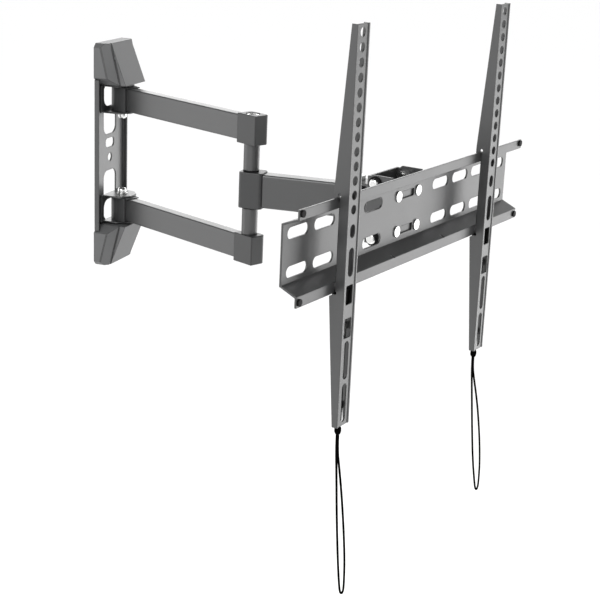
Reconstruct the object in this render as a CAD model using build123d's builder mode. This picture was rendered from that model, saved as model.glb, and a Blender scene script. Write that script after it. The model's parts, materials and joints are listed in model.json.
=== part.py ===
"""Swivel wall mount for a flat screen: wall channel, twin arms, single forearm, tilting head and two hook-on rails.

Millimetres, Z up. The wall is the plane Y = 0 and the mount stands out from it toward -Y.
The origin is the centre of the wall plate's back face. The mount is shown part swung out.
"""

import os
from math import atan2, cos, degrees, hypot, pi, radians, sin, tan

from build123d import *

os.makedirs("parts", exist_ok=True)

# Sheet thicknesses and clearances
sheet = 2.0
rail_sheet = 1.5
running = 0.05
fit_gap = 0.3

# Wall plate: a channel with its flanges turned toward the room
wall_half_width = 39.5
wall_flange = 7.0
wall_flange_end = 98.0
tongue_half_width = 37.6
tongue_end = 140.0
window_half_width = 17.0
window_inner = 24.0
window_outer = 89.0
window_corner = 10.0
cable_slot_z = 12.4
cable_slot_size = (23.0, 12.0)
level_hole_z = -7.0
level_hole_radius = 5.5
spigot_x = 24.0
spigot_z = 125.0
spigot_radius = 2.0
lag_hole_z = 120.0
lag_hole_radius = 4.5

# Hinge at the wall
pivot_y = -20.0
ear_inner_z = 54.0
ear_outer_z = 90.0
bracket_half_width = 27.5
bracket_window_inner = 61.5
bracket_window_half_width = 20.0
ear_half_width = 21.0
screw_radius = 3.0
screw_head_radius = 5.8
washer_radius = 7.0
washer_thickness = 1.5
nut_half_width = 5.0
nut_height = 5.0

# End covers: faceted caps with a wedge down the front
cover_half = 40.3
cover_wall = 2.0
cover_top = 144.0
cover_low = 91.5
cover_low_at_side = 100.5
cover_flat_half = 28.0
cover_corner = 5.0
wedge_half = 27.0
groove_radius = 0.8
nut_room = 8.0
post_radius = 3.5

# Twin arms
arm_angle = 25.5
arm_length = 250.0
arm_z = 72.0
arm_height = 30.0
arm_width = 15.0
arm_start = 18.5
arm_end_radius = 14.0
plug_length = 22.0
block_start = arm_length - 15.5
block_end = arm_length + 16.5
block_width = 22.0
block_height = 35.0

# Elbow axle and forearm
axle_radius = 5.0
axle_head_radius = 8.0
axle_head_height = 6.2
axle_head_recess = 7.0
spacer_radius = 9.5
sleeve_half_height = 21.5
sleeve_half_width = 12.5
sleeve_front = 12.0
sleeve_back = 17.5
bush_wall = 1.5
bush_flange = 1.5
bush_length = 14.0
fore_wall = 2.0
forearm_angle = -3.5
forearm_length = 130.0
forearm_height = 40.0
forearm_width = 20.0
forearm_end = forearm_length - 14.0

# Swivel and tilt head
head_depth = 86.0
head_yaw = -12.25
barrel_radius = 12.0
cheek_half = 33.0
cheek_back = 54.0
cheek_top = 39.5
cheek_low = -38.0
cheek_sheet = 2.5
lug_sheet = 3.0
tilt_head_radius = 6.0
tilt_washer_radius = 8.3
tilt_bolt_y = 42.5
tilt_pivot_z = 32.0
tilt_lock_z = -31.0
tilt_forward = 10.0
tilt_back = 3.0

# Screen plate: a long pressed strip with a recessed web
plate_length = 514.0
web_depth = 19.0
strip_top = 48.3
strip_low = 37.3
web_top = 30.0
web_low = -32.5
lip_top = -41.0
lip_low = -52.6
slot_row_z = (19.0, -21.5)
slot_size = (39.5, 12.5)
slot_pitch = 50.0
slot_last = plate_length / 2 - 28.5
slot_places = [slot_last - i * slot_pitch for i in range(4)]
centre_slot_size = (27.0, 8.5)
rivet_x = 22.8
rivet_radius = 4.0
rivet_head_radius = 6.4
stop_x = plate_length / 2 - 5
stop_heights = (44.0, -47.3)
relief_radius = 1.3
stop_pin_radius = 2.0
upper_reliefs = (-146, -24, 97, 218)
lower_reliefs = (-176, -58, 60, 177)

# Rails that hook on the screen plate
rail_places = {"left": -172.4, "right": 152.8}
rail_top = 224.0
rail_low = -201.2
rail_half_width = 12.0
rail_web_y = -9.0
rail_ridge = 3.0
ridge_width = 2.2
rail_hole_pitch = 15.0
rail_hole_count = 13
rail_hole_first = 215.6
rail_hole_radius = 4.75
hook_z = 54.0
hook_back = 6.0
catch_width = 16.0
catch_low = -72.0
slider_sheet = 1.2
slider_half_width = 6.0
slider_end = -203.0
guide_heights = (-92.0, -182.0)
spring_low = -148.5
spring_top = -111.0
spring_turns = 6
spring_wire = 0.5
spring_coil_radius = 2.0
knot_height = 9.0
cord_radius = 1.3


def direction(angle):
    """Level unit vector that leaves the wall and leans toward -X by an angle in degrees."""
    return Vector(-sin(radians(angle)), -cos(radians(angle)), 0)


wall = Plane.XY
pivot = Vector(0, pivot_y, 0)
elbow = pivot + direction(arm_angle) * arm_length
swivel = elbow + direction(forearm_angle) * forearm_length
yaw = radians(head_yaw)
head_x = Vector(cos(yaw), sin(yaw), 0)
head_y = Vector(-sin(yaw), cos(yaw), 0)
arm = Plane(origin=pivot, x_dir=direction(arm_angle), z_dir=(0, 0, 1))
forearm = Plane(origin=elbow, x_dir=direction(forearm_angle), z_dir=(0, 0, 1))
screen = Plane(origin=swivel - head_y * head_depth, x_dir=head_x, z_dir=(0, 0, 1))


def level(frame, x=0.0, y=0.0, z=0.0):
    """Level sketch plane through a point of a frame."""
    return Plane(origin=frame.from_local_coords((x, y, z)), x_dir=frame.x_dir, z_dir=(0, 0, 1))


def front(frame, x=0.0, y=0.0, z=0.0):
    """Upright sketch plane that faces a frame's -Y: sketch x is the frame's x, sketch y is up."""
    return Plane(origin=frame.from_local_coords((x, y, z)), x_dir=frame.x_dir, z_dir=-frame.y_dir)


def side(frame, x=0.0, y=0.0, z=0.0):
    """Upright sketch plane across a frame's x: sketch x is the frame's y, sketch y is up."""
    return Plane(origin=frame.from_local_coords((x, y, z)), x_dir=frame.y_dir, z_dir=frame.x_dir)


def folded(points, thickness):
    """Closed outline of a folded sheet, from the line of one face; the sheet lies to the line's left."""
    back = []
    for i, (x, y) in enumerate(points):
        ahead = points[min(i + 1, len(points) - 1)]
        behind = points[max(i - 1, 0)]
        a = atan2(y - behind[1], x - behind[0]) if i > 0 else None
        b = atan2(ahead[1] - y, ahead[0] - x) if i < len(points) - 1 else None
        a = b if a is None else a
        b = a if b is None else b
        middle = (a + b) / 2 if abs(a - b) < pi else (a + b) / 2 + pi
        reach = thickness / cos((b - a) / 2)
        back.append((x - reach * sin(middle), y + reach * cos(middle)))
    return list(points) + back[::-1]


def save(part, name):
    """Name a finished part and write its STEP file."""
    part.label = name
    export_step(part, f"parts/{name}.step")


# Wall plate: web, flanges, two tall windows, the slots between them and the tongues inside the covers
with BuildPart() as wall_plate:
    with BuildSketch(front(wall)):
        Rectangle(2 * tongue_half_width, 2 * tongue_end)
        Rectangle(2 * wall_half_width, 2 * wall_flange_end)
        chamfer(vertices().sort_by(Axis.Y)[:2] + vertices().sort_by(Axis.Y)[-2:], 8.5)
    extrude(amount=sheet)
    with BuildSketch(front(wall)):
        with Locations((wall_half_width - sheet / 2, 0), (-wall_half_width + sheet / 2, 0)):
            Rectangle(sheet, 2 * wall_flange_end)
    extrude(amount=wall_flange)
    outer_edges = edges().filter_by(Axis.Z).filter_by(lambda e: abs(e.center().X) > wall_half_width - 0.1)
    fillet(outer_edges.group_by(Axis.Y)[-1], 1.5)
    with BuildSketch(front(wall)):
        with Locations((0, (window_inner + window_outer) / 2), (0, -(window_inner + window_outer) / 2)):
            RectangleRounded(2 * window_half_width, window_outer - window_inner, window_corner)
        with Locations((0, cable_slot_z)):
            RectangleRounded(*cable_slot_size, 5)
        with Locations((0, level_hole_z)):
            Circle(level_hole_radius)
        with Locations((0, lag_hole_z), (0, -lag_hole_z)):
            Circle(lag_hole_radius)
        with Locations(*[(spigot_x * i, spigot_z * j) for i in (-1, 1) for j in (-1, 1)]):
            Circle(spigot_radius + 0.2)
    extrude(amount=wall_flange, mode=Mode.SUBTRACT)
save(wall_plate.part, "wall_plate")


# Hinge bracket: a back plate with a window and an ear folded forward at each end
for sign, name in ((1, "upper_hinge_bracket"), (-1, "lower_hinge_bracket")):
    middle = sign * (ear_inner_z + ear_outer_z) / 2
    with BuildPart() as hinge_bracket:
        with BuildSketch(front(wall, y=-sheet, z=middle)):
            Rectangle(2 * bracket_half_width, ear_outer_z - ear_inner_z)
            fillet(vertices(), 2)
        extrude(amount=sheet)
        for z, reach in ((ear_inner_z, 37), (ear_outer_z - sheet, 33)):
            ear_outline = [(ear_half_width, -sheet), (ear_half_width, 10.5 - reach), (8, -reach)]
            with BuildSketch(level(wall, z=sign * z)):
                Polygon(*ear_outline, *[(-x, y) for x, y in reversed(ear_outline)], align=None)
                fillet(vertices().sort_by(Axis.Y)[:4], 5)
            extrude(amount=sign * sheet)
            with BuildSketch(level(wall, y=pivot_y, z=sign * z)):
                Circle(screw_radius + running)
            extrude(amount=sign * sheet, mode=Mode.SUBTRACT)
        window_height = ear_outer_z - sheet - bracket_window_inner
        with BuildSketch(front(wall, y=-sheet, z=sign * (bracket_window_inner + window_height / 2))):
            Rectangle(2 * bracket_window_half_width, window_height)
            fillet(vertices().sort_by(Axis.Y)[::sign][:2], 11)
        extrude(amount=sheet, mode=Mode.SUBTRACT)
    save(hinge_bracket.part, name)


# End covers: faceted caps with a wedge down the front, hollow, on two posts with snap spigots
def cap_outline(depth_side, half_front, depth_front, inset, back):
    """Half-octagon outline of a cap at one height, shrunk by an inset."""
    right = [(cover_half - inset, back), (cover_half - inset, -depth_side + inset / 2)]
    right.append((half_front - inset / 2, -depth_front + inset))
    return right + [(-x, y) for x, y in reversed(right)]


def cap_solid(inset, low, top, corner):
    """A cap's faceted body with its wedge, shrunk by an inset, with its two top corners cut off."""
    rise = (top - cover_low) / (cover_top - cover_low)
    fall = (low - cover_low) / (cover_top - cover_low)
    wedge = [(-10, top), (-17.8 + inset, top), (-38.6 + 20.8 * fall + inset, low), (-10, low)]
    with BuildPart() as cap:
        for share, z in ((fall, low), (rise, top)):
            outline = cap_outline(21 - 13 * share, 28 + 2.5 * share, 30 - 13 * share, inset, 0)
            with BuildSketch(level(wall, z=z)):
                Polygon(*outline, align=None)
        loft(ruled=True)
        with BuildSketch(side(wall)):
            Polygon(*wedge, align=None)
        extrude(amount=wedge_half - inset, both=True)
        with BuildSketch(front(wall)):
            with Locations((0, top)):
                Rectangle(2 * cover_half, 2 * top, align=(Align.CENTER, Align.MAX))
                chamfer(vertices().sort_by(Axis.Y)[-2:], corner)
        extrude(amount=60, mode=Mode.INTERSECT)
    return cap.part


def inner_end(rise):
    """Heights of the cover's inner end, level in the middle and sloped to its sides, raised by an amount."""
    slope = (cover_low_at_side - cover_low) / (cover_half - cover_flat_half)
    side_z = cover_low + slope * (45 - cover_flat_half) + rise
    return [(-45, side_z), (-cover_flat_half, cover_low + rise), (cover_flat_half, cover_low + rise), (45, side_z)]


for sign, name in ((1, "upper_cover"), (-1, "lower_cover")):
    shell = cap_solid(0, cover_low, cover_top, cover_corner)
    cavity = cap_solid(cover_wall, cover_low - 2, cover_top - cover_wall, cover_corner - 0.6)
    with BuildPart() as end_wall:
        add(shell)
        with BuildSketch(front(wall, y=-sheet - fit_gap)):
            Polygon(*inner_end(0), *inner_end(cover_wall)[::-1], align=None)
        extrude(amount=60, mode=Mode.INTERSECT)
    with BuildPart() as cover:
        add(shell)
        add(cavity, mode=Mode.SUBTRACT)
        add(end_wall.part)
        with BuildSketch(front(wall, y=1)):
            Polygon(*inner_end(0), (45, cover_low - 5), (-45, cover_low - 5), align=None)
        extrude(amount=60, mode=Mode.SUBTRACT)
        with BuildSketch(level(wall, y=pivot_y, z=cover_low - 1)):
            Circle(nut_room)
            Rectangle(2 * nut_room, -pivot_y, align=(Align.CENTER, Align.MIN))
        extrude(amount=12, mode=Mode.SUBTRACT)
        for x in (-1, 1):
            for seam_x, low_y, top_y in ((cover_half, -21, -8), (wedge_half, -30.4, -17.4)):
                seam_low = Vector(x * seam_x, low_y, cover_low)
                seam = Vector(x * seam_x, top_y, cover_top) - seam_low
                with BuildSketch(Plane(origin=seam_low, z_dir=seam)):
                    Circle(groove_radius)
                extrude(amount=seam.length, mode=Mode.SUBTRACT)
        with BuildSketch(front(wall, y=-sheet)):
            with Locations((spigot_x, spigot_z), (-spigot_x, spigot_z)):
                Circle(post_radius)
        extrude(amount=21)
        with BuildSketch(front(wall, y=-0.4)):
            with Locations((spigot_x, spigot_z), (-spigot_x, spigot_z)):
                Circle(spigot_radius)
        extrude(amount=4)
        if sign < 0:
            mirror(about=Plane.XY, mode=Mode.REPLACE)
    save(cover.part, name)


# Pivot screws with domed cross-recess heads, their washers and the nuts under the covers
head_seat = ear_inner_z - washer_thickness
with BuildPart() as pivot_screws:
    with BuildSketch(level(wall, y=pivot_y, z=head_seat)):
        Circle(screw_head_radius)
    extrude(amount=-7)
    fillet(faces().sort_by(Axis.Z)[0].edges(), 4)
    with BuildSketch(level(wall, y=pivot_y, z=head_seat)):
        Circle(screw_radius)
    extrude(amount=97 - head_seat)
    with BuildSketch(level(wall, y=pivot_y, z=head_seat - 7)):
        Rectangle(6.0, 1.2)
        Rectangle(1.2, 6.0)
    extrude(amount=2.6, mode=Mode.SUBTRACT)
    mirror(about=Plane.XY)
save(pivot_screws.part, "pivot_screws")

with BuildPart() as pivot_washers:
    with BuildSketch(level(wall, y=pivot_y, z=ear_inner_z)):
        Circle(washer_radius)
        Circle(screw_radius + fit_gap, mode=Mode.SUBTRACT)
    extrude(amount=-washer_thickness)
    mirror(about=Plane.XY)
save(pivot_washers.part, "pivot_washers")

with BuildPart() as pivot_nuts:
    with BuildSketch(level(wall, y=pivot_y, z=ear_outer_z)):
        RegularPolygon(nut_half_width, 6, major_radius=False)
        Circle(screw_radius, mode=Mode.SUBTRACT)
    extrude(amount=nut_height)
    mirror(about=Plane.XY)
save(pivot_nuts.part, "pivot_nuts")


# Arm tubes, their moulded wall ends and the blocks at the elbow
cap_height = ear_outer_z - ear_inner_z - 2 * sheet
plug_width = arm_width - 2 * rail_sheet
plug_height = arm_height - 2 * rail_sheet
for sign, name in ((1, "upper"), (-1, "lower")):
    z = sign * arm_z
    with BuildPart() as arm_tube:
        with BuildSketch(side(arm, x=arm_start, z=z)):
            RectangleRounded(arm_width, arm_height, 2)
            RectangleRounded(plug_width, plug_height, 0.8, mode=Mode.SUBTRACT)
        extrude(amount=block_start - arm_start)
    save(arm_tube.part, f"{name}_arm_tube")

    with BuildPart() as arm_end:
        with BuildSketch(level(arm, z=z - cap_height / 2)):
            Circle(arm_end_radius)
            nose = [(0, arm_end_radius), (8, arm_end_radius - 1), (arm_start, 10.5)]
            Polygon(*nose, *[(x, -y) for x, y in reversed(nose)], align=None)
        extrude(amount=cap_height)
        for low in (z - cap_height / 2, z + arm_height / 2):
            with BuildSketch(level(arm, x=arm_start, z=low)):
                Rectangle(5, 21, align=(Align.MIN, Align.CENTER))
                fillet(vertices().sort_by(Axis.X)[-2:], 2)
            extrude(amount=(cap_height - arm_height) / 2)
        with BuildSketch(side(arm, x=arm_start, z=z)):
            RectangleRounded(plug_width, plug_height, 0.8)
        extrude(amount=plug_length)
        with BuildSketch(level(arm, z=z - cap_height / 2)):
            Circle(screw_radius + running)
        extrude(amount=cap_height, mode=Mode.SUBTRACT)
    save(arm_end.part, f"{name}_arm_end")

    with BuildPart() as elbow_block:
        with BuildSketch(level(arm, x=block_start, z=z - block_height / 2)):
            with Locations(((block_end - block_start) / 2, 0)):
                Rectangle(block_end - block_start, block_width)
                fillet(vertices().group_by(Axis.X)[0], 1.2)
                fillet(vertices().group_by(Axis.X)[-1].sort_by(Axis.Y)[:1], 1.2)
                fillet(vertices().sort_by_distance((block_end - block_start, block_width / 2))[:1], 5)
        extrude(amount=block_height)
        fillet(edges().group_by(Axis.Z)[0] + edges().group_by(Axis.Z)[-1], 0.8)
        with BuildSketch(side(arm, x=block_start + 0.5, z=z)):
            RectangleRounded(plug_width, plug_height, 0.8)
        extrude(amount=-plug_length)
        with BuildSketch(level(arm, x=arm_length, z=z - block_height / 2)):
            Circle(axle_radius + 0.2)
        extrude(amount=block_height, mode=Mode.SUBTRACT)
        with BuildSketch(level(arm, x=arm_length, z=z + sign * block_height / 2)):
            Circle(axle_head_radius + 0.5)
        extrude(amount=-sign * axle_head_recess, mode=Mode.SUBTRACT)
    save(elbow_block.part, f"{name}_elbow_block")


# Elbow: long axle bolt, its barrel nut and the spacer tubes above and below the forearm's sleeve
head_low = arm_z + block_height / 2 - axle_head_recess
block_inner = arm_z - block_height / 2
with BuildPart() as elbow_bolt:
    with BuildSketch(level(forearm, z=-head_low)):
        Circle(axle_radius)
    extrude(amount=2 * head_low)
    with BuildSketch(level(forearm, z=head_low)):
        Circle(axle_head_radius)
    extrude(amount=axle_head_height)
    fillet(faces().sort_by(Axis.Z)[-1].edges(), 1)
    with BuildSketch(level(forearm, z=head_low + axle_head_height)):
        RegularPolygon(4, 6, major_radius=False)
    extrude(amount=-4, mode=Mode.SUBTRACT)
save(elbow_bolt.part, "elbow_bolt")

with BuildPart() as elbow_nut:
    with BuildSketch(level(forearm, z=-head_low)):
        Circle(axle_head_radius)
    extrude(amount=-axle_head_height)
    fillet(faces().sort_by(Axis.Z)[0].edges(), 1)
    with BuildSketch(level(forearm, z=-head_low - axle_head_height)):
        RegularPolygon(4, 6, major_radius=False)
    extrude(amount=4, mode=Mode.SUBTRACT)
save(elbow_nut.part, "elbow_nut")

with BuildPart() as elbow_spacers:
    with BuildSketch(level(forearm, z=sleeve_half_height + bush_flange)):
        Circle(spacer_radius)
        Circle(axle_radius + 0.2, mode=Mode.SUBTRACT)
    extrude(amount=block_inner - sleeve_half_height - bush_flange)
    mirror(about=Plane.XY)
save(elbow_spacers.part, "elbow_spacers")


# Forearm: sleeve block with flanged bushes, tube, and the barrel block that the head swivels on
fore_plug = (forearm_width - 2 * fore_wall, forearm_height - 2 * fore_wall)
with BuildPart() as forearm_sleeve:
    with BuildSketch(level(forearm, z=-sleeve_half_height)):
        with Locations(((sleeve_back - sleeve_front) / 2, 0)):
            RectangleRounded(sleeve_back + sleeve_front, 2 * sleeve_half_width, 5)
    extrude(amount=2 * sleeve_half_height)
    fillet(edges().group_by(Axis.Z)[0] + edges().group_by(Axis.Z)[-1], 0.8)
    with BuildSketch(side(forearm, x=sleeve_back - 0.5)):
        RectangleRounded(*fore_plug, 1)
    extrude(amount=plug_length)
    with BuildSketch(level(forearm, z=-sleeve_half_height)):
        Circle(axle_radius + bush_wall)
    extrude(amount=2 * sleeve_half_height, mode=Mode.SUBTRACT)
save(forearm_sleeve.part, "forearm_sleeve")

with BuildPart() as elbow_bushes:
    with BuildSketch(level(forearm, z=sleeve_half_height - bush_length)):
        Circle(axle_radius + bush_wall)
    extrude(amount=bush_length)
    with BuildSketch(level(forearm, z=sleeve_half_height)):
        Circle(spacer_radius)
    extrude(amount=bush_flange)
    with BuildSketch(level(forearm, z=sleeve_half_height - bush_length)):
        Circle(axle_radius + running)
    extrude(amount=bush_length + bush_flange, mode=Mode.SUBTRACT)
    mirror(about=Plane.XY)
save(elbow_bushes.part, "elbow_bushes")

with BuildPart() as forearm_tube:
    with BuildSketch(side(forearm, x=sleeve_back)):
        RectangleRounded(forearm_width, forearm_height, 2.5)
        RectangleRounded(*fore_plug, 1, mode=Mode.SUBTRACT)
    extrude(amount=forearm_end - sleeve_back)
save(forearm_tube.part, "forearm_tube")

with BuildPart() as forearm_barrel:
    with BuildSketch(level(forearm, x=forearm_length, z=-forearm_height / 2)):
        Circle(barrel_radius)
        with Locations((-forearm_length + forearm_end, 0)):
            Rectangle(forearm_length - forearm_end, forearm_width, align=(Align.MIN, Align.CENTER))
    extrude(amount=forearm_height)
    with BuildSketch(side(forearm, x=forearm_end)):
        RectangleRounded(*fore_plug, 1)
    extrude(amount=-20)
    with BuildSketch(level(forearm, x=forearm_length, z=-forearm_height / 2)):
        Circle(axle_radius + running)
    extrude(amount=forearm_height, mode=Mode.SUBTRACT)
save(forearm_barrel.part, "forearm_barrel")


# Swivel head: cheeks and back folded from one sheet, with two lugs that straddle the forearm's barrel
lug_low = forearm_height / 2 + 1.5
lug_top = lug_low + lug_sheet
tilt_spots = [(tilt_bolt_y, tilt_pivot_z), (tilt_bolt_y, tilt_lock_z)]
cheek_outline = [(30, cheek_top), (cheek_back, cheek_top), (cheek_back, cheek_low), (36.5, cheek_low)]
with BuildPart() as swivel_head:
    for x in (-cheek_half, cheek_half - cheek_sheet):
        with BuildSketch(side(screen, x=x)):
            Polygon(*cheek_outline, align=None)
            fillet(vertices().sort_by(Axis.X)[:2], 5)
        extrude(amount=cheek_sheet)
    with BuildSketch(front(screen, y=cheek_back, z=(cheek_top + cheek_low) / 2)):
        Rectangle(2 * cheek_half, cheek_top - cheek_low)
    extrude(amount=cheek_sheet)
    for z in (lug_low, -lug_top):
        with BuildSketch(level(screen, y=head_depth, z=z)):
            Circle(barrel_radius + 1)
            Rectangle(2 * barrel_radius + 2, head_depth - cheek_back + 1, align=(Align.CENTER, Align.MAX))
        extrude(amount=lug_sheet)
    with BuildSketch(level(screen, y=head_depth, z=-lug_top)):
        Circle(axle_radius + 0.2)
    extrude(amount=2 * lug_top, mode=Mode.SUBTRACT)
    with BuildSketch(side(screen, x=-cheek_half)):
        with Locations(*tilt_spots):
            Circle(screw_radius + running)
    extrude(amount=2 * cheek_half, mode=Mode.SUBTRACT)
save(swivel_head.part, "swivel_head")

with BuildPart() as swivel_bolt:
    with BuildSketch(level(screen, y=head_depth, z=-lug_top - 8)):
        Circle(axle_radius)
    extrude(amount=2 * lug_top + 8)
    with BuildSketch(level(screen, y=head_depth, z=lug_top)):
        RegularPolygon(8, 6, major_radius=False)
    extrude(amount=6)
save(swivel_bolt.part, "swivel_bolt")

with BuildPart() as swivel_nut:
    with BuildSketch(level(screen, y=head_depth, z=-lug_top)):
        RegularPolygon(8, 6, major_radius=False)
        Circle(axle_radius, mode=Mode.SUBTRACT)
    extrude(amount=-7)
save(swivel_nut.part, "swivel_nut")

with BuildPart() as swivel_washers:
    with BuildSketch(level(screen, y=head_depth, z=forearm_height / 2)):
        Circle(barrel_radius)
        Circle(axle_radius + fit_gap, mode=Mode.SUBTRACT)
    extrude(amount=lug_low - forearm_height / 2)
    mirror(about=Plane.XY)
save(swivel_washers.part, "swivel_washers")


# Tilt fasteners: domed screws through ear and cheek, broad black washers outside, nuts inside
ear_out = cheek_half + sheet
with BuildPart() as tilt_screws:
    for turn in (1, -1):
        for y, z in tilt_spots:
            seat = turn * (ear_out + washer_thickness)
            with BuildSketch(side(screen, x=seat, y=y, z=z)):
                Circle(tilt_head_radius)
            extrude(amount=turn * 4.5)
            fillet(faces().sort_by_distance(screen.from_local_coords((2 * seat, y, z)))[0].edges(), 2.5)
            with BuildSketch(side(screen, x=seat, y=y, z=z)):
                Circle(screw_radius)
            extrude(amount=-turn * 12)
save(tilt_screws.part, "tilt_screws")

with BuildPart() as tilt_washers:
    for turn in (1, -1):
        for y, z in tilt_spots:
            with BuildSketch(side(screen, x=turn * ear_out, y=y, z=z)):
                Circle(tilt_washer_radius)
                Circle(screw_radius + fit_gap, mode=Mode.SUBTRACT)
            extrude(amount=turn * washer_thickness)
save(tilt_washers.part, "tilt_washers")

with BuildPart() as tilt_nuts:
    for turn in (1, -1):
        for y, z in tilt_spots:
            with BuildSketch(side(screen, x=turn * (cheek_half - cheek_sheet), y=y, z=z)):
                RegularPolygon(nut_half_width, 6, major_radius=False)
                Circle(screw_radius, mode=Mode.SUBTRACT)
            extrude(amount=-turn * nut_height)
save(tilt_nuts.part, "tilt_nuts")


# Tilt bracket: welded behind the screen plate, an ear each side with a pivot hole and an arc slot
bracket_y = web_depth + sheet
lock_reach = tilt_pivot_z - tilt_lock_z
ear_shape = [(bracket_y, -40), (47, -40), (50.5, -33), (48, -22), (43, -14), (43, 12), (53, 24), (53, 36), (47, 41.5)]
ear_shape.append((bracket_y, 41.5))
with BuildPart() as tilt_bracket:
    with BuildSketch(front(screen, y=bracket_y + sheet)):
        with Locations((0, (web_top + web_low) / 2)):
            Rectangle(2 * ear_out, web_top - web_low - 2)
    extrude(amount=sheet)
    for x in (-ear_out, cheek_half):
        with BuildSketch(side(screen, x=x)):
            Polygon(*ear_shape, align=None)
            fillet(vertices().sort_by(Axis.X)[2:], 2.5)
        extrude(amount=sheet)
    with BuildSketch(side(screen, x=-ear_out)):
        with Locations((tilt_bolt_y, tilt_pivot_z)):
            Circle(screw_radius + running)
        with BuildLine():
            lock_path = CenterArc((tilt_bolt_y, tilt_pivot_z), lock_reach, 270 - tilt_forward - 0.5,
                                  tilt_forward + tilt_back + 1)
        SlotArc(arc=lock_path, height=2 * screw_radius + 0.4)
    extrude(amount=2 * ear_out, mode=Mode.SUBTRACT)
    with BuildSketch(front(screen, y=bracket_y + sheet)):
        for row in slot_row_z:
            with Locations((-rivet_x, row), (rivet_x, row)):
                Circle(rivet_radius + fit_gap)
    extrude(amount=sheet, mode=Mode.SUBTRACT)
save(tilt_bracket.part, "tilt_bracket")


# Screen plate: strip and lip in front, web pressed back between them, two rows of slots
plate_line = [(0, lip_low), (0, lip_top), (web_depth, web_low), (web_depth, web_top), (0, strip_low), (0, strip_top)]
with BuildPart() as screen_plate:
    with BuildSketch(side(screen, x=-plate_length / 2)):
        Polygon(*folded(plate_line[::-1], sheet), align=None)
    extrude(amount=plate_length)
    with BuildSketch(front(screen, y=web_depth + 2 * sheet)):
        for row in slot_row_z:
            with Locations(*[(i * x, row) for x in slot_places for i in (-1, 1)]):
                SlotOverall(*slot_size)
            with Locations((-rivet_x, row), (rivet_x, row)):
                Circle(rivet_radius + fit_gap)
            with Locations((0, row)):
                RectangleRounded(*centre_slot_size, 1.5)
        with Locations(*[(x, web_top - 0.4) for x in upper_reliefs], *[(x, lip_top + 0.8) for x in lower_reliefs]):
            Circle(relief_radius)
        with Locations(*[(i * stop_x, z) for i in (-1, 1) for z in stop_heights]):
            Circle(stop_pin_radius + 0.25)
    extrude(amount=2 * web_depth, mode=Mode.SUBTRACT)
save(screen_plate.part, "screen_plate")

with BuildPart() as plate_rivets:
    for x in (-rivet_x, rivet_x):
        for z in slot_row_z:
            with BuildSketch(front(screen, x=x, y=web_depth, z=z)):
                Circle(rivet_head_radius)
            extrude(amount=1.5)
            with BuildSketch(front(screen, x=x, y=web_depth, z=z)):
                Circle(rivet_radius)
            extrude(amount=-2 * sheet)
            with BuildSketch(front(screen, x=x, y=web_depth + 2 * sheet, z=z)):
                Circle(rivet_radius + 1.5)
            extrude(amount=-1)
save(plate_rivets.part, "plate_rivets")

with BuildPart() as end_stops:
    for i in (-1, 1):
        for z in stop_heights:
            with BuildSketch(front(screen, x=i * stop_x, z=z)):
                Circle(3.8)
            extrude(amount=2)
            with BuildSketch(front(screen, x=i * stop_x, z=z)):
                Circle(stop_pin_radius)
            extrude(amount=-2 * sheet)
save(end_stops.part, "end_stops")


# Rails, each with its catch, slider, return spring and pull cord
notch_y = -0.9
flange_line = [(rail_web_y - rail_ridge, rail_top), (-5.2, rail_top), (hook_back, hook_z), (hook_back, 43.5)]
flange_line += [(2.4, 43.5), (2.4, strip_top), (notch_y, strip_top), (notch_y, -53), (hook_back, -57)]
flange_line += [(-5.2, rail_low), (rail_web_y - rail_ridge, rail_low)]
web_back = rail_web_y + rail_sheet
slider_y = web_back + 0.9
guide = rail_half_width - rail_sheet - slider_half_width
cord_routes = {
    "left": [(-1.4, -212), (-1.4, -228), (2, -258), (7, -308), (14, -362), (20.5, -401), (24.5, -415), (31, -415),
             (31.5, -403), (30.5, -378), (26, -345), (18, -300), (8, -256), (1.4, -232), (1.4, -212)],
    "right": [(-1.4, -212), (-1.4, -226), (5, -262), (14, -312), (24, -360), (34, -393), (40, -409.5), (47, -409.5),
              (48, -396), (47, -372), (38.5, -330), (24, -282), (8, -244), (1.4, -226), (1.4, -212)],
}

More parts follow.
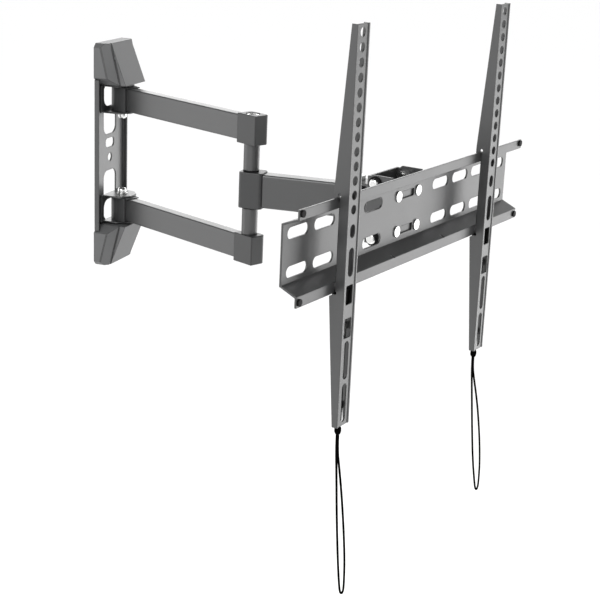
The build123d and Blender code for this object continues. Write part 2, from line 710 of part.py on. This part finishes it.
for hand, place in rail_places.items():
    with BuildPart() as rail:
        with BuildSketch(front(screen, x=place, y=web_back)):
            with Locations((0, (rail_top + rail_low) / 2)):
                Rectangle(2 * rail_half_width, rail_top - rail_low)
        extrude(amount=rail_sheet)
        for x in (-rail_half_width, rail_half_width - ridge_width):
            with BuildSketch(side(screen, x=place + x)):
                with Locations((rail_web_y, (rail_top + rail_low) / 2)):
                    Rectangle(rail_ridge, rail_top - rail_low, align=(Align.MAX, Align.CENTER))
            extrude(amount=ridge_width)
        for x in (-rail_half_width, rail_half_width - rail_sheet):
            with BuildSketch(side(screen, x=place + x)):
                Polygon(*flange_line, align=None)
                for z in (50.8, -52.7):
                    with Locations((-1, z)):
                        Circle(1.75, mode=Mode.SUBTRACT)
            extrude(amount=rail_sheet)
        with BuildSketch(front(screen, x=place, y=web_back)):
            with Locations(*[(0, rail_hole_first - i * rail_hole_pitch) for i in range(rail_hole_count)]):
                Circle(rail_hole_radius)
            for width, top, low in ((9.5, 20, 6), (10, -5, -35.5), (9, -106.5, -148.5), (9, -154, -197)):
                with Locations((0, (top + low) / 2)):
                    SlotOverall(top - low, width, rotation=90)
            for width, top, low in ((13, -45, -65.5), (14, -81, -102.5)):
                with Locations((0, (top + low) / 2)):
                    RectangleRounded(width, top - low, 1.5)
        extrude(amount=rail_sheet + rail_ridge, mode=Mode.SUBTRACT)
        with BuildSketch(level(screen, x=place, y=web_back, z=spring_low)):
            Rectangle(6, 7, align=(Align.CENTER, Align.MIN))
        extrude(amount=-1.5)
        for z in guide_heights:
            with BuildSketch(front(screen, x=place, y=slider_y + slider_sheet + 1.4, z=z)):
                with Locations((slider_half_width + guide / 2, 0), (-slider_half_width - guide / 2, 0)):
                    Rectangle(guide, 8)
            extrude(amount=1.0)
    save(rail.part, f"{hand}_rail")

    with BuildPart() as catch:
        with BuildSketch(side(screen, x=place - catch_width / 2)):
            Polygon((-7.0, -50), (-1.5, -50), (-1.5, -56.5), (2.7, -56.5), (2.7, -47.5), (4.0, -47.5), (4.8, -50),
                    (4.8, -62), (-1, catch_low), (-7.0, catch_low), align=None)
        extrude(amount=catch_width)
    save(catch.part, f"{hand}_catch")

    with BuildPart() as slider:
        with BuildSketch(front(screen, x=place, y=slider_y + slider_sheet)):
            with Locations((0, (catch_low + slider_end) / 2)):
                Rectangle(2 * slider_half_width, catch_low - slider_end)
                fillet(vertices().group_by(Axis.Y)[0], 3)
            with Locations((0, (spring_top - 1 - 160) / 2)):
                RectangleRounded(8, 160 + spring_top - 1, 1, mode=Mode.SUBTRACT)
        extrude(amount=slider_sheet)
        with BuildSketch(level(screen, x=place, y=slider_y, z=spring_top)):
            Rectangle(6, 6.6, align=(Align.CENTER, Align.MIN))
        extrude(amount=1.2)
    save(slider.part, f"{hand}_slider")

    spring_y = slider_y + slider_sheet + 2.9
    spring_rise = spring_top - spring_low - 2 * spring_wire - 0.1
    with BuildPart() as spring:
        with BuildLine(level(screen, x=place, y=spring_y, z=spring_low + spring_wire + 0.05)) as coil:
            Helix(pitch=spring_rise / spring_turns, height=spring_rise, radius=spring_coil_radius)
        with BuildSketch(Plane(origin=coil.line @ 0, z_dir=coil.line % 0)):
            Circle(spring_wire)
        sweep(is_frenet=True)
    save(spring.part, f"{hand}_spring")

    with BuildPart() as knot:
        with BuildSketch(side(screen, x=place, y=slider_y + slider_sheet / 2, z=slider_end)):
            with BuildLine():
                Polyline((0, -knot_height), (0, 0), (2.4, 0), (3.8, -2.5), (3.8, -6.5), (2.9, -knot_height),
                         (0, -knot_height))
            make_face()
        revolve(axis=Axis(screen.from_local_coords((place, slider_y + slider_sheet / 2, 0)), (0, 0, 1)))
    save(knot.part, f"{hand}_knot")

    route = [screen.from_local_coords((place + x, slider_y + slider_sheet / 2, z)) for x, z in cord_routes[hand]]
    bends = []
    for before, here, after in zip(route, route[1:], route[2:]):
        turn = (here - before).get_angle(after - here)
        run = min((here - before).length, (after - here).length)
        bends.append(0.45 * run / tan(radians(turn) / 2))
    with BuildPart() as cord:
        with BuildLine() as path:
            FilletPolyline(*route, radius=bends)
        with BuildSketch(Plane(origin=path.line @ 0, z_dir=path.line % 0)):
            Circle(cord_radius)
        sweep()
    length = sum(edge.length for edge in path.edges())
    print(hand, "cord length", round(length), "bend radii", [round(bend, 1) for bend in bends])
    print(hand, "cord volume over section times length", cord.part.volume / (pi * cord_radius**2 * length))
    save(cord.part, f"{hand}_cord")
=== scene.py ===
"""Studio scene of a swivel wall mount for a flat screen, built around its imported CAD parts."""

import json
from math import cos, pi, radians, sin

import bmesh
import bpy
from mathutils import Matrix, Vector


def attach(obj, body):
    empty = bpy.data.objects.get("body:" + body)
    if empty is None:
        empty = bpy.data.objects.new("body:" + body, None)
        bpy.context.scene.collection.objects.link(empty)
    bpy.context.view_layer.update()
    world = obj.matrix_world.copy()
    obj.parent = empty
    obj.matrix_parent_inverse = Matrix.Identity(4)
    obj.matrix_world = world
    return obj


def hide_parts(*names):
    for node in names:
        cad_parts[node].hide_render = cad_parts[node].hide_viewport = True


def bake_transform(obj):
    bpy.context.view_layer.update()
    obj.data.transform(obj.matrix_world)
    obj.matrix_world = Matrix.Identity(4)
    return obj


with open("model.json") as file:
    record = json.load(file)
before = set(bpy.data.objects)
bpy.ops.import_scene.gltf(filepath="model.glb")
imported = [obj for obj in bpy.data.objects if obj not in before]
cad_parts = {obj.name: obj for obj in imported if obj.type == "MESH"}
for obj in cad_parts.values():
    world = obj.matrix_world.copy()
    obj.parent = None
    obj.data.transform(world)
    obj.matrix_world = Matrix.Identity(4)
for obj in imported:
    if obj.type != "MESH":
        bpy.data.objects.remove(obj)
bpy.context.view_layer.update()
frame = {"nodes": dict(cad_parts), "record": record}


# Camera: at the photograph's angle and distance, long lens, no depth of field
# It looks along the wall from the mount's left and a little from above, with a slight roll.
def look_camera(position, azimuth, pitch, roll, focal):
    """Place the camera with its axes worked out from three angles in degrees."""
    turn, dip, lean = radians(azimuth), radians(pitch), radians(roll)
    ahead = Vector((-sin(turn) * cos(dip), cos(turn) * cos(dip), -sin(dip)))
    right = Vector((cos(turn), sin(turn), 0))
    up = right.cross(ahead)
    camera_x = right * cos(lean) + up * sin(lean)
    camera_y = up * cos(lean) - right * sin(lean)
    data = bpy.data.cameras.new("photo_camera")
    data.sensor_width = 36
    data.lens = focal
    camera = bpy.data.objects.new("photo_camera", data)
    bpy.context.scene.collection.objects.link(camera)
    axes = Matrix((camera_x, camera_y, -ahead)).transposed().to_4x4()
    camera.matrix_world = Matrix.Translation(position) @ axes
    bpy.context.scene.camera = camera


look_camera(Vector((-1.66334, -0.880, 0.37859)), azimuth=-70, pitch=17.01, roll=2.47, focal=87.0)


# Screen plate's frame: reached along the arms, the forearm and the head in the photograph's pose
# Turns are in degrees about the upright, from square to the wall, and lengths in metres.
def toward_wall(turn):
    """Unit vector toward the wall, along a piece with this turn."""
    return Vector((-sin(radians(turn)), cos(radians(turn)), 0))


arm_turn, arm_length = -25.5, 0.250
forearm_turn, forearm_length = 3.5, 0.130
screen_turn, head_depth = -12.25, 0.086
arm_pivot = Vector((0, -0.020, 0))
elbow = arm_pivot - toward_wall(arm_turn) * arm_length
swivel = elbow - toward_wall(forearm_turn) * forearm_length
screen_y = toward_wall(screen_turn)
screen_x = Vector((screen_y.y, -screen_y.x, 0))
screen_origin = swivel - screen_y * head_depth
rail_places = {"left": -172.4, "right": 152.8}


def on_screen(x, y, z):
    """A point of the screen plate's own frame, in the scene."""
    return screen_origin + screen_x * x + screen_y * y + Vector((0, 0, z))


# Pull cords: thin limp loops that hang from the knots under the rails
# The points repeat the CAD route, in millimetres across the rail and in height, on the slider's plane.
cord_plane = -6.0
cord_routes = {
    "left": [(-1.4, -212), (-1.4, -228), (2, -258), (7, -308), (14, -362), (20.5, -401), (24.5, -415),
             (31, -415), (31.5, -403), (30.5, -378), (26, -345), (18, -300), (8, -256), (1.4, -232),
             (1.4, -212)],
    "right": [(-1.4, -212), (-1.4, -226), (5, -262), (14, -312), (24, -360), (34, -393), (40, -409.5),
              (47, -409.5), (48, -396), (47, -372), (38.5, -330), (24, -282), (8, -244), (1.4, -226),
              (1.4, -212)],
}


def pull_cord(hand, diameter=0.0026):
    """One cord loop as a round bevelled NURBS curve that rides with its latch."""
    points = [on_screen((rail_places[hand] + x) / 1000, cord_plane / 1000, z / 1000)
              for x, z in cord_routes[hand]]
    curve = bpy.data.curves.new(f"{hand}_pull_cord", "CURVE")
    curve.dimensions = "3D"
    # The points carry the cord's radius, because Blender widens a curve's box by it.
    curve.bevel_depth = 1
    curve.bevel_resolution = 3
    curve.resolution_u = 12
    spline = curve.splines.new("NURBS")
    spline.points.add(len(points) - 1)
    for spot, point in zip(spline.points, points):
        spot.co = (*point, 1)
        spot.radius = diameter / 2
    spline.order_u = 3
    spline.use_endpoint_u = True
    cord = bpy.data.objects.new(f"{hand}_pull_cord", curve)
    bpy.context.scene.collection.objects.link(cord)
    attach(cord, f"{hand}_latch")
    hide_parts(f"{hand}_cord")
    return cord


cords = [pull_cord(hand) for hand in ("left", "right")]


# Return springs: a coil between each rail's seat and its slider's tab
def mesh_object(mesh, name):
    """Turn a finished bmesh into an object at the origin."""
    data = bpy.data.meshes.new(name)
    mesh.to_mesh(data)
    mesh.free()
    item = bpy.data.objects.new(name, data)
    bpy.context.scene.collection.objects.link(item)
    return item


def return_spring(hand, wire=0.0005, radius=0.002, turns=6, plane=-0.0025, low=-0.14795, top=-0.11155):
    """One coil of round wire as a closed tube mesh."""
    steps, sides = turns * 24, 10
    axis_foot = on_screen(rail_places[hand] / 1000, plane, 0)
    mesh = bmesh.new()
    rings = []
    for i in range(steps + 1):
        turn = 2 * pi * turns * i / steps
        outward = screen_x * cos(turn) + screen_y * sin(turn)
        middle = axis_foot + outward * radius + Vector((0, 0, low + (top - low) * i / steps))
        around = [outward * cos(2 * pi * j / sides) + Vector((0, 0, sin(2 * pi * j / sides)))
                  for j in range(sides)]
        rings.append([mesh.verts.new(middle + side * wire) for side in around])
    for ring, after in zip(rings, rings[1:]):
        for j in range(sides):
            mesh.faces.new((ring[j], ring[(j + 1) % sides], after[(j + 1) % sides], after[j]))
    mesh.faces.new(rings[0][::-1])
    mesh.faces.new(rings[-1])
    bmesh.ops.recalc_face_normals(mesh, faces=mesh.faces)
    for face in mesh.faces:
        face.smooth = len(face.verts) == 4
    spring = mesh_object(mesh, f"{hand}_return_spring")
    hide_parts(f"{hand}_spring")
    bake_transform(spring)
    return spring


springs = [return_spring(hand) for hand in ("left", "right")]


# Rails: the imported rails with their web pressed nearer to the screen
# In the photograph the web lies almost level with the two ridges, so its round holes show whole.
def raised_rail(hand, web_front=-0.009, web_back=-0.0075, half_width=0.012, lift=0.0022, slack=0.00002):
    """A copy of one rail whose web stands further forward between its ridges."""
    mesh = bmesh.new()
    node = frame["nodes"][f"{hand}_rail"]
    mesh.from_mesh(node.data)
    mesh.transform(node.matrix_world)
    for corner in mesh.verts:
        place = corner.co - screen_origin
        across = abs(place.dot(screen_x) - rail_places[hand] / 1000)
        in_web = web_front - slack < place.dot(screen_y) < web_back + slack
        if in_web and across < half_width - slack:
            corner.co -= screen_y * lift
    rail = mesh_object(mesh, f"{hand}_raised_rail")
    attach(rail, f"{hand}_rail_body")
    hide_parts(f"{hand}_rail")
    return rail


rails = [raised_rail(hand) for hand in ("left", "right")]


# Surface grain: one shader group, shared by every finish
# It reads object coordinates and hands back values and a normal only; one of the values is the painted edge shade
# factor.
def new_group(name, inputs, outputs):
    """An empty shader node group with float inputs and the named outputs."""
    group = bpy.data.node_groups.new(name, "ShaderNodeTree")
    for label, value in inputs:
        socket = group.interface.new_socket(label, in_out="INPUT", socket_type="NodeSocketFloat")
        socket.default_value = value
    for label, kind in outputs:
        group.interface.new_socket(label, in_out="OUTPUT", socket_type=kind)
    return group


def surface_group(broad_scale=22, fine_share=0.45, edge_radius=0.0013, bump_depth=0.0003):
    """Powder-coat grain over softened edges: a normal, a mottled shade factor and a painted edge shade factor."""
    group = new_group("surface_grain", [("Scale", 900.0), ("Bump", 0.1)],
                      [("Normal", "NodeSocketVector"), ("Shade", "NodeSocketFloat"), ("Painted edge shade", "NodeSocketFloat")])
    nodes, links = group.nodes, group.links
    source = nodes.new("NodeGroupInput")
    result = nodes.new("NodeGroupOutput")
    place = nodes.new("ShaderNodeTexCoord")
    fine = nodes.new("ShaderNodeTexNoise")
    fine.inputs["Detail"].default_value = 3
    links.new(place.outputs["Object"], fine.inputs["Vector"])
    links.new(source.outputs["Scale"], fine.inputs["Scale"])
    broad = nodes.new("ShaderNodeTexNoise")
    broad.inputs["Scale"].default_value = broad_scale
    broad.inputs["Detail"].default_value = 5
    links.new(place.outputs["Object"], broad.inputs["Vector"])
    mottle = nodes.new("ShaderNodeMix")
    mottle.inputs["Factor"].default_value = fine_share
    links.new(broad.outputs["Fac"], mottle.inputs["A"])
    links.new(fine.outputs["Fac"], mottle.inputs["B"])
    links.new(mottle.outputs["Result"], result.inputs["Shade"])
    bevel = nodes.new("ShaderNodeBevel")
    bevel.samples = 6
    bevel.inputs["Radius"].default_value = edge_radius
    bump = nodes.new("ShaderNodeBump")
    bump.inputs["Distance"].default_value = bump_depth
    links.new(source.outputs["Bump"], bump.inputs["Strength"])
    links.new(fine.outputs["Fac"], bump.inputs["Height"])
    links.new(bevel.outputs["Normal"], bump.inputs["Normal"])
    links.new(bump.outputs["Normal"], result.inputs["Normal"])
    # Painted edge shade: this factor grows where the bevel's rounded normal turns away from the face normal, so
    # rounded edges get dark colour in place of dark reflections.
    geometry = nodes.new("ShaderNodeNewGeometry")
    painted_edge_shade = nodes.new("ShaderNodeVectorMath")
    painted_edge_shade.operation = "DISTANCE"
    links.new(bevel.outputs["Normal"], painted_edge_shade.inputs[0])
    links.new(geometry.outputs["Normal"], painted_edge_shade.inputs[1])
    links.new(painted_edge_shade.outputs["Value"], result.inputs["Painted edge shade"])
    return group


grain = surface_group()


# Finishes: one procedural material for each material slot of the record
# Each runs between two shades of its base colour, and its rounded edges go toward a third colour: painted shade
# that stands in for the dark reflections at bends.
def finish(name, base, painted_edge_shade, roughness, metallic=0.0, scale=900.0, bump=0.1, painted_edge_gain=1.8, specular=0.5,
           shade_spread=0.22, rough_spread=0.07):
    """A principled material with grain in its colour, roughness and normal, and painted shade on its rounded
    edges.
    """
    material = bpy.data.materials.new(name)
    material.use_nodes = True
    nodes, links = material.node_tree.nodes, material.node_tree.links
    shader = nodes["Principled BSDF"]
    shader.inputs["Metallic"].default_value = metallic
    shader.inputs["Specular IOR Level"].default_value = specular
    detail = nodes.new("ShaderNodeGroup")
    detail.node_tree = grain
    detail.inputs["Scale"].default_value = scale
    detail.inputs["Bump"].default_value = bump
    gain = nodes.new("ShaderNodeMath")
    gain.operation = "MULTIPLY"
    gain.use_clamp = True
    gain.inputs[1].default_value = painted_edge_gain
    links.new(detail.outputs["Painted edge shade"], gain.inputs[0])
    shade = nodes.new("ShaderNodeMix")
    shade.data_type = "RGBA"
    shade.inputs["A"].default_value = (*[(1 - shade_spread) * value for value in base], 1)
    shade.inputs["B"].default_value = (*[(1 + shade_spread) * value for value in base], 1)
    links.new(detail.outputs["Shade"], shade.inputs["Factor"])
    # Painted shade: the rounded edges are mixed toward the dark edge colour.
    colour = nodes.new("ShaderNodeMix")
    colour.data_type = "RGBA"
    colour.inputs["B"].default_value = (*painted_edge_shade, 1)
    links.new(gain.outputs["Value"], colour.inputs["Factor"])
    links.new(shade.outputs["Result"], colour.inputs["A"])
    links.new(colour.outputs["Result"], shader.inputs["Base Color"])
    rough = nodes.new("ShaderNodeMapRange")
    rough.inputs["To Min"].default_value = roughness - rough_spread
    rough.inputs["To Max"].default_value = roughness + rough_spread
    links.new(detail.outputs["Shade"], rough.inputs["Value"])
    links.new(rough.outputs["Result"], shader.inputs["Roughness"])
    links.new(detail.outputs["Normal"], shader.inputs["Normal"])
    return material


# The edge colours are painted shade on rounded edges; dark is also the cord's own black.
steel, dark = (0.024, 0.0245, 0.025), (0.002, 0.002, 0.002)
looks = {
    "powder_steel": dict(base=steel, painted_edge_shade=dark, roughness=0.36, specular=0.95),
    "rail_steel": dict(base=steel, painted_edge_shade=dark, roughness=0.34, painted_edge_gain=2.4, specular=1.0),
    "cover_plastic": dict(base=(0.07, 0.071, 0.072), painted_edge_shade=(0.004, 0.004, 0.004), roughness=0.46,
                          scale=1400.0, bump=0.15, specular=0.7),
    "black_plastic": dict(base=(0.003, 0.003, 0.003), painted_edge_shade=dark, roughness=0.55, specular=0.12),
    "block_metal": dict(base=(0.02, 0.0205, 0.021), painted_edge_shade=dark, roughness=0.42, specular=0.6),
    "zinc": dict(base=(0.8, 0.8, 0.79), painted_edge_shade=(0.25, 0.25, 0.25), roughness=0.22, metallic=1.0,
                 scale=400.0, bump=0.04),
    "spring_steel": dict(base=(0.6, 0.6, 0.6), painted_edge_shade=(0.5, 0.5, 0.5), roughness=0.3, metallic=1.0,
                         bump=0.04),
    "cord_black": dict(base=dark, painted_edge_shade=dark, roughness=0.8, scale=2500.0, bump=0.4, specular=0.0),
}
finishes = {name: finish(name, **look) for name, look in looks.items()}
slot_of = {part["node"]: part["material_slot"] for part in frame["record"]["subparts"]}
for name, node in frame["nodes"].items():
    node.data.materials.clear()
    node.data.materials.append(finishes[slot_of[name]])
for pieces, slot in ((cords, "cord_black"), (springs, "spring_steel"), (rails, "rail_steel")):
    for piece in pieces:
        piece.data.materials.clear()
        piece.data.materials.append(finishes[slot])


# Studio: a plain pale floor below the cords and five soft lamps
# The key lamp stands high on the left. The others are weaker and light edges, webs and undersides.
def studio_floor(height, half):
    """A flat pale floor that isn't part of the object."""
    mesh = bpy.data.meshes.new("studio_floor")
    corners = [(-half, -half, height), (half, -half, height), (half, half, height), (-half, half, height)]
    mesh.from_pydata(corners, [], [(0, 1, 2, 3)])
    floor = bpy.data.objects.new("studio_floor", mesh)
    bpy.context.scene.collection.objects.link(floor)
    paint = bpy.data.materials.new("studio_floor")
    paint.use_nodes = True
    shader = paint.node_tree.nodes["Principled BSDF"]
    shader.inputs["Base Color"].default_value = (0.95, 0.95, 0.95, 1)
    shader.inputs["Roughness"].default_value = 0.9
    mesh.materials.append(paint)


def area_lamp(name, place, target, size, power):
    """A square soft lamp at a place that faces a target."""
    data = bpy.data.lights.new(name, "AREA")
    data.size = size
    data.energy = power
    lamp = bpy.data.objects.new(name, data)
    bpy.context.scene.collection.objects.link(lamp)
    lamp.location = place
    lamp.visible_camera = False
    lamp.rotation_euler = (Vector(target) - Vector(place)).to_track_quat("-Z", "Y").to_euler()


studio_floor(height=-1.2, half=40)
middle = (-0.06, -0.25, 0.0)
area_lamp("key_lamp", (-1.9, -0.1, 1.5), middle, size=1.2, power=35)
area_lamp("back_lamp", (1.92, 0.52, 0.75), middle, size=1.6, power=12)
area_lamp("front_lamp", (1.23, -1.66, -0.5), middle, size=1.0, power=7)
area_lamp("wall_lamp", (1.75, -0.75, -0.5), middle, size=0.7, power=4)
area_lamp("side_lamp", (-0.55, 1.3, -0.2), middle, size=1.0, power=2.2)


# Surround: even white for the background and for soft light
# Reflections see a bright low ring and a dark zenith, so rounded edges draw dark lines.
def white_surround(strength, ring_strength, zenith_strength, zenith_start, zenith_end):
    """World shader whose upper part is dark to glossy rays only."""
    world = bpy.data.worlds.new("white_surround")
    bpy.context.scene.world = world
    world.use_nodes = True
    nodes, links = world.node_tree.nodes, world.node_tree.links
    background = nodes["Background"]
    background.inputs["Color"].default_value = (1, 1, 1, 1)
    place = nodes.new("ShaderNodeTexCoord")
    split = nodes.new("ShaderNodeSeparateXYZ")
    links.new(place.outputs["Generated"], split.inputs["Vector"])
    ring = nodes.new("ShaderNodeMapRange")
    ring.inputs["From Min"].default_value = zenith_start
    ring.inputs["From Max"].default_value = zenith_end
    ring.inputs["To Min"].default_value = ring_strength
    ring.inputs["To Max"].default_value = zenith_strength
    links.new(split.outputs["Z"], ring.inputs["Value"])
    path = nodes.new("ShaderNodeLightPath")
    choice = nodes.new("ShaderNodeMix")
    choice.inputs["A"].default_value = strength
    links.new(path.outputs["Is Glossy Ray"], choice.inputs["Factor"])
    links.new(ring.outputs["Result"], choice.inputs["B"])
    links.new(choice.outputs["Result"], background.inputs["Strength"])


white_surround(strength=1.08, ring_strength=1.8, zenith_strength=0.02, zenith_start=0.36, zenith_end=0.5)
bpy.context.scene.view_settings.view_transform = "Standard"
